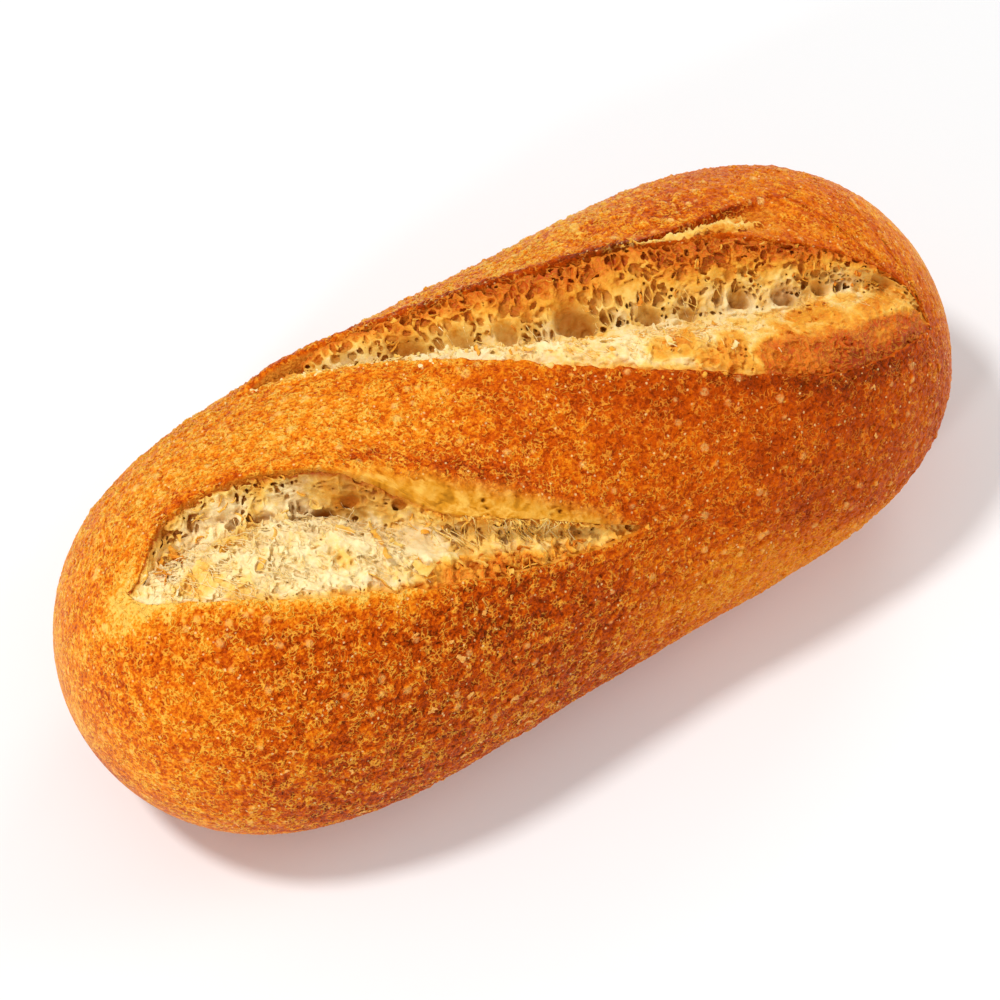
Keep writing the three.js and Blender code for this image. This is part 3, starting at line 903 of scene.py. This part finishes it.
def shape_crust():
    """Points of the whole crust as rings of columns, with what its material reads."""
    stations = ring_stations()
    angle = column_angles(stations)
    x = np.repeat(stations[:, None], angle.shape[1], axis=1)
    lift = shelf_relief(x, angle) + swell_relief(x, angle)
    cut_depth = np.zeros_like(x)
    torn = np.zeros_like(x)
    for cut in (NEAR_CUT, FAR_CUT):
        cut_lift, inside, cut_torn = cut_in_crust(cut, x, angle)
        lift = lift + cut_lift
        cut_depth = np.maximum(cut_depth, inside)
        torn = np.maximum(torn, cut_torn)
    from_ear = (angle - lips_at(FAR_CUT, x).high) * MM_PER_DEGREE
    behind, rolled = far_roll(x)
    roll, crease = bell(from_ear - behind / 2, behind / 3), bell(from_ear - behind, 0.9)
    lift = lift + rolled * (0.4 * roll - 0.7 * crease)
    plain = place(x, angle, lift * 0).reshape(-1, 3)
    bare = bareness_of(x.ravel(), angle.ravel(), plain)
    skin = (1 - cut_depth).ravel()
    above_base = (1 - smoothstep(np.abs(angle), 100, 135)).ravel()
    folds = 0.24 * layered_noise(plain, 6.5, 41, 2)
    blisters = np.minimum(0.35, np.maximum(0, -pores(plain, 2.1, 42, 0.1, 0.45, 0.45)))
    warped = plain + 0.45 * np.stack([noise(plain, 1.1, 51 + n) for n in range(3)], axis=1)
    plates, plate_tone, plate_edge = scales(warped, 1.0, 43)
    curled = smoothstep(noise(plain, 1.6, 46), -0.2, 0.5) * (1 - smoothstep(plate_edge, 0.0, 0.22))
    pits = 0.16 * smoothstep(noise(warped, 0.8, 45), 0.2, 0.7)
    fine = 0.08 * noise(plain, 0.55, 44)
    pimply = (smoothstep(from_ear, 1, 6) + smoothstep(x, 50, 70)).ravel()
    pimples = np.clip(-pores(plain, 1.9, 50, 0.2, 0.5, 0.6), 0, 0.4) * np.clip(pimply, 0, 1)
    relief = 0.75 * blisters + 0.22 * np.clip(plates, -0.6, 0.6) + 0.1 * curled
    relief = relief - pits + fine + 0.8 * pimples
    beside_ear = bell(from_ear - 1.6, 1.6) * (from_ear > 0)
    cell_row = beside_ear * smoothstep(x, 12, 22) * (1 - smoothstep(x, 46, 54))
    cells = cell_row.ravel() * np.clip(-pores(warped, 1.7, 47, 0.3, 0.5, 0.9), 0, 0.6)
    fine_pores = np.clip(-pores(plain, 1.5, 48, 0.16, 0.34, 0.9), 0, 0.32)
    rags = bare * (0.16 * noise(plain, 2.4, 49) - 0.75 * relief - 1.8 * fine_pores)
    skin_relief = (folds + relief + rags - 1.2 * cells) * skin * lerp(0.25, 1.0, above_base)
    lift = lift + skin_relief.reshape(x.shape)
    points = place(x, angle, lift)
    behind_far = (smoothstep(from_ear, 1, 7) * (1 - smoothstep(np.abs(angle), 60, 90))).ravel()
    curly = lerp(1.0, 0.58, smoothstep(x, -30, 30))
    looks = {
        "bake": bake_of(x.ravel(), angle.ravel(), plain) + 0.3 * cells,
        "grain": np.clip(0.45 + 1.2 * relief + 0.7 * rags + 0.2 * (plate_tone - 0.5) + 0.2 * curled, 0, 1),
        "blister": smoothstep(blisters, 0.16, 0.35) * (1 - bare) * lerp(1.0, 1.8, behind_far),
        "torn": torn.ravel(),
        "bare": bare,
        "curly": lerp(curly.ravel(), lerp(1.15, 0.7, smoothstep(x, 30, 52)).ravel(), behind_far),
    }
    return points, {name: values.reshape(x.shape) for name, values in looks.items()}


def crust_piece(name, points, looks, first, last, material):
    """One length of crust between two rings, bent from a flat grid."""
    rings = last - first
    bm = bmesh.new()
    bmesh.ops.create_grid(bm, x_segments=CRUST_COLUMNS, y_segments=rings, size=1)
    mesh = bpy.data.meshes.new(name)
    bm.to_mesh(mesh)
    bm.free()
    flat = np.empty(len(mesh.vertices) * 3)
    mesh.vertices.foreach_get("co", flat)
    flat = flat.reshape(-1, 3)
    column = np.rint((flat[:, 0] + 1) / 2 * CRUST_COLUMNS).astype(int)
    ring = first + np.rint((flat[:, 1] + 1) / 2 * rings).astype(int)
    mesh.vertices.foreach_set("co", (points[ring, column] * MM).ravel())
    give_looks(mesh, {key: values[ring, column] for key, values in looks.items()})
    bm = bmesh.new()
    bm.from_mesh(mesh)
    bmesh.ops.remove_doubles(bm, verts=bm.verts, dist=1e-8)
    bmesh.ops.dissolve_degenerate(bm, edges=bm.edges, dist=1e-9)
    middle = Vector((0, 0, WIDEST_LEVEL * MM))
    outward = sum((f.calc_center_median() - middle).dot(f.normal) for f in bm.faces if f.calc_area() > 0)
    if outward < 0:
        bmesh.ops.reverse_faces(bm, faces=bm.faces)
    bm.to_mesh(mesh)
    bm.free()
    finish_piece(name, mesh, material)


# Materials

def srgb(*rgb):
    """A colour given as it looks on a screen, 0 to 255, as the linear colour that shaders take."""
    share = np.array(rgb) / 255
    linear = np.where(share <= 0.04045, share / 12.92, ((share + 0.055) / 1.055) ** 2.4)
    return (*[float(v) for v in linear], 1.0)


class Nodes:
    """A material under construction, with short words for its nodes."""

    def __init__(self, name):
        self.material = bpy.data.materials.new(name)
        self.material.use_nodes = True
        self.tree = self.material.node_tree
        self.shader = self.tree.nodes["Principled BSDF"]
        self.where = self.tree.nodes.new("ShaderNodeTexCoord").outputs["Object"]

    def link(self, source, target):
        self.tree.links.new(source, target)

    def look(self, name):
        """A number that the mesh stores under that name."""
        node = self.tree.nodes.new("ShaderNodeAttribute")
        node.attribute_name = name
        return node.outputs["Fac"]

    def sum(self, a, b, factor=1.0, clamp=False):
        """a plus b times a factor."""
        node = self.tree.nodes.new("ShaderNodeMath")
        node.operation = "MULTIPLY_ADD"
        node.use_clamp = clamp
        self.link(b, node.inputs[0])
        node.inputs[1].default_value = factor
        self.link(a, node.inputs[2])
        return node.outputs[0]

    def times(self, a, b):
        """a times b."""
        node = self.tree.nodes.new("ShaderNodeMath")
        node.operation = "MULTIPLY"
        self.link(a, node.inputs[0])
        self.link(b, node.inputs[1])
        return node.outputs[0]

    def warped(self, amount, size):
        """Coordinates pushed about by noise, by an amount and with lumps of a size in millimetres."""
        push = self.tree.nodes.new("ShaderNodeTexNoise")
        self.link(self.where, push.inputs["Vector"])
        push.inputs["Scale"].default_value = PER_METRE / size
        node = self.tree.nodes.new("ShaderNodeVectorMath")
        node.operation = "MULTIPLY_ADD"
        self.link(push.outputs["Color"], node.inputs[0])
        node.inputs[1].default_value = (amount * MM,) * 3
        self.link(self.where, node.inputs[2])
        return node.outputs["Vector"]

    def spread(self, value, low, high, to_low=0.0, to_high=1.0):
        """A value moved from one range to another, held at the ends."""
        node = self.tree.nodes.new("ShaderNodeMapRange")
        self.link(value, node.inputs["Value"])
        for socket, number in zip(("From Min", "From Max", "To Min", "To Max"), (low, high, to_low, to_high)):
            node.inputs[socket].default_value = number
        return node.outputs["Result"]

    def noise(self, size, detail=2.0, rough=0.55):
        """Noise about 0.5 with lumps of that size in millimetres."""
        node = self.tree.nodes.new("ShaderNodeTexNoise")
        self.link(self.where, node.inputs["Vector"])
        node.inputs["Scale"].default_value = PER_METRE / size
        node.inputs["Detail"].default_value = detail
        node.inputs["Roughness"].default_value = rough
        return node.outputs["Fac"]

    def cells(self, size, output="Distance"):
        """Cells of that size in millimetres: the distance to a cell's middle, or each cell's own colour."""
        node = self.tree.nodes.new("ShaderNodeTexVoronoi")
        self.link(self.where, node.inputs["Vector"])
        node.inputs["Scale"].default_value = PER_METRE / size
        return node.outputs[output]

    def line(self, value, at, half_width):
        """1 where the value is at a level, and 0 from half a width away: thin curls along its contours."""
        black, white = (0, 0, 0), (255, 255, 255)
        return self.ramp(value, [(at - half_width, black), (at + half_width, black), (at, white)])

    def ramp(self, value, stops):
        """A colour by the value. The first two stops are the ends of the ramp."""
        node = self.tree.nodes.new("ShaderNodeValToRGB")
        self.link(value, node.inputs["Fac"])
        elements = node.color_ramp.elements
        for index, (at, colour) in enumerate(stops):
            element = elements[index] if index < 2 else elements.new(at)
            element.position = at
            element.color = srgb(*colour)
        return node.outputs["Color"]

    def mix(self, factor, a, b, kind="MIX"):
        """Colour a turned into colour b by a factor."""
        node = self.tree.nodes.new("ShaderNodeMix")
        node.data_type = "RGBA"
        node.blend_type = kind
        for value, socket in ((factor, node.inputs[0]), (a, node.inputs[6]), (b, node.inputs[7])):
            if isinstance(value, (tuple, float)):
                socket.default_value = value
            else:
                self.link(value, socket)
        return node.outputs[2]

    def bump(self, height, strength, distance, after=None):
        """A normal that a height in millimetres bumps, after another bump where there is one."""
        node = self.tree.nodes.new("ShaderNodeBump")
        self.link(height, node.inputs["Height"])
        node.inputs["Strength"].default_value = strength
        node.inputs["Distance"].default_value = distance * MM
        if after is not None:
            self.link(after, node.inputs["Normal"])
        return node.outputs["Normal"]


CRUST_STOPS = [
    (0.0, (255, 200, 92)), (1.0, (112, 38, 0)), (0.2, (250, 162, 40)), (0.4, (234, 124, 14)),
    (0.6, (206, 83, 4)), (0.8, (168, 57, 1)),
]
CRUMB_STOPS = [
    (0.0, (253, 231, 176)), (1.0, (156, 54, 4)), (0.2, (249, 207, 108)), (0.4, (242, 172, 54)),
    (0.6, (226, 118, 16)), (0.8, (198, 78, 6)),
]


def crust_material():
    m = Nodes("baked crust")
    mottle = m.noise(5.0, 2.0)
    patches = m.noise(1.8, 1.0)
    m.where = m.warped(0.3, 0.7)
    speckle = m.noise(0.45, 2.0, 0.6)
    swirl = m.noise(0.64, 0.5)
    curls = m.times(m.line(swirl, 0.5, 0.13), m.spread(patches, 0.4, 0.58))
    whole = m.spread(m.look("bare"), 0.1, 0.7, 1.0, 0.0)
    curls = m.times(m.times(curls, m.look("curly")), whole)
    furrows = m.times(m.line(swirl, 0.36, 0.09), whole)
    tone = m.sum(m.look("bake"), m.spread(mottle, 0.3, 0.7, -0.05, 0.05))
    tone = m.sum(tone, m.times(m.spread(speckle, 0.3, 0.7, -0.2, 0.2), m.look("curly")))
    tone = m.sum(tone, m.times(m.spread(m.look("grain"), 0.15, 0.95, 0.2, -0.22), m.look("curly")))
    tone = m.sum(tone, m.times(furrows, m.look("curly")), 0.12)
    tone = m.sum(tone, curls, -0.22, True)
    colour = m.ramp(tone, CRUST_STOPS)
    colour = m.mix(m.spread(curls, 0.2, 1.0, 0.0, 0.6), colour, srgb(255, 194, 72))
    flake = m.noise(1.3, 2.0, 0.6)
    colour = m.mix(m.spread(flake, 0.7, 0.75, 0, 0.6), colour, srgb(255, 194, 72))
    # Painted glints: tiny pale highlights painted into the colour on a few small cells.
    some_cells = m.spread(m.cells(0.9, "Color"), 0.7, 0.72)
    painted_glint = m.times(m.spread(m.cells(0.9), 0.14, 0.26, 1.0, 0.0), some_cells)
    colour = m.mix(m.spread(painted_glint, 0.0, 1.0, 0.0, 0.75), colour, srgb(255, 212, 140))
    blister_top = m.times(m.look("blister"), m.spread(speckle, 0.35, 0.6, 0.1, 0.5))
    colour = m.mix(blister_top, colour, srgb(255, 206, 118))
    inner = m.ramp(speckle, [(0.3, (168, 78, 10)), (0.8, (236, 156, 52))])
    colour = m.mix(m.look("torn"), colour, inner)
    thin = m.ramp(m.look("grain"), [(0.1, (120, 66, 6)), (0.8, (248, 190, 84)), (0.4, (222, 146, 34))])
    colour = m.mix(m.look("bare"), colour, thin)
    m.link(colour, m.shader.inputs["Base Color"])
    m.link(m.spread(speckle, 0.3, 0.7, 0.5, 0.34), m.shader.inputs["Roughness"])
    m.shader.inputs["Specular IOR Level"].default_value = 0.09
    m.shader.inputs["Specular Tint"].default_value = (1.0, 0.7, 0.3, 1.0)
    rough = m.bump(speckle, 0.8, 0.25)
    rough = m.bump(m.sum(curls, furrows, -0.6), 0.65, 0.22, rough)
    m.link(rough, m.shader.inputs["Normal"])
    return m.material


def peel_material():
    m = Nodes("lifted crust")
    speckle = m.noise(0.45, 2.0, 0.6)
    m.link(m.ramp(speckle, [(0.3, (224, 134, 40)), (0.7, (250, 188, 96))]), m.shader.inputs["Base Color"])
    m.shader.inputs["Roughness"].default_value = 0.4
    m.shader.inputs["Specular IOR Level"].default_value = 0.2
    m.link(m.bump(speckle, 0.6, 0.15), m.shader.inputs["Normal"])
    return m.material


def crumb_material():
    m = Nodes("torn crumb")
    fine = m.noise(0.7, 3.0, 0.6)
    toast = m.sum(m.look("toast"), m.spread(fine, 0.25, 0.75, -0.08, 0.08))
    toast = m.sum(toast, m.spread(m.noise(2.2), 0.3, 0.7, -0.08, 0.08), 1.0, True)
    colour = m.ramp(toast, CRUMB_STOPS)
    # Painted shade: the crumb's colour is multiplied darker by its depth number, as shade in cavities and
    # under the lips.
    colour = m.mix(m.spread(m.look("depth"), 0.1, 0.8, 0.0, 0.9), colour, srgb(176, 128, 62), "MULTIPLY")
    m.where = m.warped(0.3, 0.7)
    curls = m.times(m.line(m.noise(0.75, 0.5), 0.5, 0.12), m.spread(toast, 0.36, 0.7))
    colour = m.mix(m.spread(curls, 0.1, 1.0, 0.0, 0.5), colour, srgb(248, 168, 48))
    m.link(colour, m.shader.inputs["Base Color"])
    m.shader.inputs["Roughness"].default_value = 0.55
    m.shader.inputs["Specular IOR Level"].default_value = 0.2
    m.shader.inputs["Subsurface Weight"].default_value = 0.1
    m.shader.inputs["Subsurface Radius"].default_value = (1.0, 0.7, 0.4)
    m.shader.inputs["Subsurface Scale"].default_value = 0.5 * MM
    m.link(m.bump(curls, 0.7, 0.25, m.bump(fine, 0.6, 0.2)), m.shader.inputs["Normal"])
    return m.material


# Studio

# The camera as the loaf's outline in the photograph gave it, in degrees, millimetres and pixels
CAMERA = {
    "azimuth": -34.5, "elevation": 54.0, "distance": 450.0, "focal_px": 2827.0,
    "right": -2.72, "up": -5.18, "level": 29.5,
}
IMAGE_PX = 1000.0
SENSOR = 36.0

# Lights, in metres and watts, and the point that they face
LIT_POINT = Vector((0, 0, 0.03))
LIGHTS = {
    "key": dict(place_at=(-0.4, 0.15, 0.95), size=0.16, power=5.4),
    "side": dict(place_at=(-0.85, -0.5, 0.5), size=0.12, power=3.0),
    "rim": dict(place_at=(0.75, 0.5, 0.5), size=0.4, power=1.6),
    "fill": dict(place_at=(0.95, -0.3, 0.45), size=0.5, power=2.8),
}
FLOOR_GREY = 0.92
SKY_STRENGTH = 0.45


def set_camera():
    """Looks at the loaf as the photograph does."""
    azimuth, elevation = np.radians(CAMERA["azimuth"]), np.radians(CAMERA["elevation"])
    level = np.cos(elevation)
    back = Vector((np.sin(azimuth) * level, -np.cos(azimuth) * level, np.sin(elevation)))
    right = Vector((np.cos(azimuth), np.sin(azimuth), 0))
    up = back.cross(right)
    aim = Vector((0, 0, CAMERA["level"])) + CAMERA["right"] * right + CAMERA["up"] * up
    data = bpy.data.cameras.new("photo_camera")
    data.sensor_width = SENSOR
    data.lens = CAMERA["focal_px"] * SENSOR / IMAGE_PX
    data.clip_start = 0.01
    camera = bpy.data.objects.new("photo_camera", data)
    camera.location = (aim + CAMERA["distance"] * back) * MM
    camera.rotation_euler = back.to_track_quat("Z", "Y").to_euler()
    bpy.context.scene.collection.objects.link(camera)
    bpy.context.scene.camera = camera


def soft_light(name, place_at, size, power):
    """A round soft light that faces the loaf."""
    data = bpy.data.lights.new(name, "AREA")
    data.shape = "DISK"
    data.size = size
    data.energy = power
    lamp = bpy.data.objects.new(name, data)
    lamp.location = place_at
    lamp.rotation_euler = (Vector(place_at) - LIT_POINT).to_track_quat("Z", "Y").to_euler()
    bpy.context.scene.collection.objects.link(lamp)


def set_studio():
    """A wide floor of white paper, an even pale sky and the lights."""
    bm = bmesh.new()
    bmesh.ops.create_grid(bm, x_segments=1, y_segments=1, size=3.0)
    mesh = bpy.data.meshes.new("floor")
    bm.to_mesh(mesh)
    bm.free()
    paper = bpy.data.materials.new("white paper")
    paper.use_nodes = True
    sheet = paper.node_tree.nodes["Principled BSDF"]
    sheet.inputs["Base Color"].default_value = (FLOOR_GREY, FLOOR_GREY, FLOOR_GREY, 1)
    sheet.inputs["Roughness"].default_value = 0.9
    mesh.materials.append(paper)
    floor = bpy.data.objects.new("floor", mesh)
    bpy.context.scene.collection.objects.link(floor)
    world = bpy.data.worlds.new("studio")
    world.use_nodes = True
    sky = world.node_tree.nodes["Background"]
    sky.inputs["Color"].default_value = (1, 1, 1, 1)
    sky.inputs["Strength"].default_value = SKY_STRENGTH
    bpy.context.scene.world = world
    for name, light in LIGHTS.items():
        soft_light(name, **light)
    bpy.context.scene.view_settings.view_transform = "Standard"


# The pieces

FIBRES = [
    dict(cut=NEAR_CUT, count=36, along=(0.14, 0.46), across=(0.55, 0.85), length=(1.2, 3.0),
         thickness=(0.05, 0.1), sunk=0.7,
         toast=(0.0, 0.15), curly=0.3, seed=301),
    dict(cut=NEAR_CUT, count=60, along=(0.54, 0.82), across=(0.36, 0.56), length=(2.2, 4.2),
         thickness=(0.07, 0.15), sunk=0.0,
         toast=(0.08, 0.36), curly=0.3, seed=302),
    dict(cut=NEAR_CUT, count=300, along=(0.04, 0.52), across=(0.06, 0.72), length=(0.8, 2.6),
         thickness=(0.05, 0.1), sunk=0.1,
         toast=(0.0, 0.14), curly=0.6, seed=303),
    dict(cut=FAR_CUT, count=150, along=(0.3, 0.95), across=(0.5, 0.78), length=(1.0, 2.8),
         thickness=(0.04, 0.11), sunk=0.6,
         toast=(0.05, 0.3), curly=0.4, seed=304),
    dict(cut=FAR_CUT, count=200, along=(0.12, 0.7), across=(0.15, 0.55), length=(0.6, 1.6),
         thickness=(0.05, 0.11), sunk=0.0,
         toast=(0.02, 0.36), curly=0.6, seed=305),
]
FLAKES = [
    dict(cut=NEAR_CUT, count=30, along=(0.04, 0.5), across=(0.05, 0.75), size=(0.7, 2.2),
         toast=(0.0, 0.15), seed=311),
    dict(cut=NEAR_CUT, count=12, along=(0.06, 0.5), across=(0.05, 0.6), size=(1.6, 3.6),
         toast=(0.25, 0.4), seed=316),
    dict(cut=NEAR_CUT, count=24, along=(0.1, 0.4), across=(0.8, 0.97), size=(0.8, 2.2),
         toast=(0.15, 0.4), seed=312),
    dict(cut=NEAR_CUT, count=40, along=(0.5, 0.85), across=(0.0, 0.25), size=(0.8, 2.4),
         toast=(0.35, 0.55), seed=313),
    dict(cut=NEAR_CUT, count=24, along=(0.52, 0.85), across=(0.5, 0.62), size=(0.8, 2.0),
         toast=(0.25, 0.45), seed=317),
    dict(cut=NEAR_CUT, count=8, along=(0.03, 0.12), across=(0.4, 0.95), size=(2.0, 3.4),
         toast=(0.35, 0.5), seed=318),
    dict(cut=FAR_CUT, count=80, along=(0.12, 0.72), across=(0.15, 0.55), size=(0.7, 1.8),
         toast=(0.04, 0.4), seed=314),
    dict(cut=FAR_CUT, count=70, along=(0.2, 0.95), across=(0.75, 0.98), size=(0.7, 2.0),
         toast=(0.35, 0.6), seed=315),
]
PEELS = [
    dict(count=30, stations=(-72, -20), angles=(-105, -45), size=(0.6, 1.7), seed=321),
    dict(count=40, stations=(-60, 74), angles=(-100, 75), size=(0.5, 1.1), seed=322),
    dict(count=2, stations=(61.5, 62.5), angles=(27, 29), size=(1.6, 2.0), seed=324),
]
CRUST_LENGTHS = ("left_end", "left", "middle", "right", "right_end")
NEAR_LENGTHS = ("left", "middle", "right")
FAR_LENGTHS = ("left", "middle_left", "middle_right", "right")
NEAR_SEED = 100
FAR_SEED = 200


def main():
    crust = crust_material()
    crumb = crumb_material()
    points, looks = shape_crust()
    ends = np.linspace(0, CRUST_RINGS, len(CRUST_LENGTHS) + 1).astype(int)
    for name, first, last in zip(CRUST_LENGTHS, ends, ends[1:]):
        crust_piece("crust_" + name, points, looks, first, last, crust)
    crumb_lengths("crumb_near", NEAR_LENGTHS, *carve_crumb(NEAR_CUT, near_look, NEAR_SEED), crumb)
    crumb_lengths("crumb_far", FAR_LENGTHS, *carve_crumb(FAR_CUT, far_look, FAR_SEED), crumb)
    crumb_piece("fibres", *gather([strands(**batch) for batch in FIBRES]), crumb)
    crumb_piece("flakes", *gather([flakes(**batch) for batch in FLAKES]), crumb)
    crumb_piece("peels", *gather([peels(**batch) for batch in PEELS]), peel_material())
    set_camera()
    set_studio()


main()
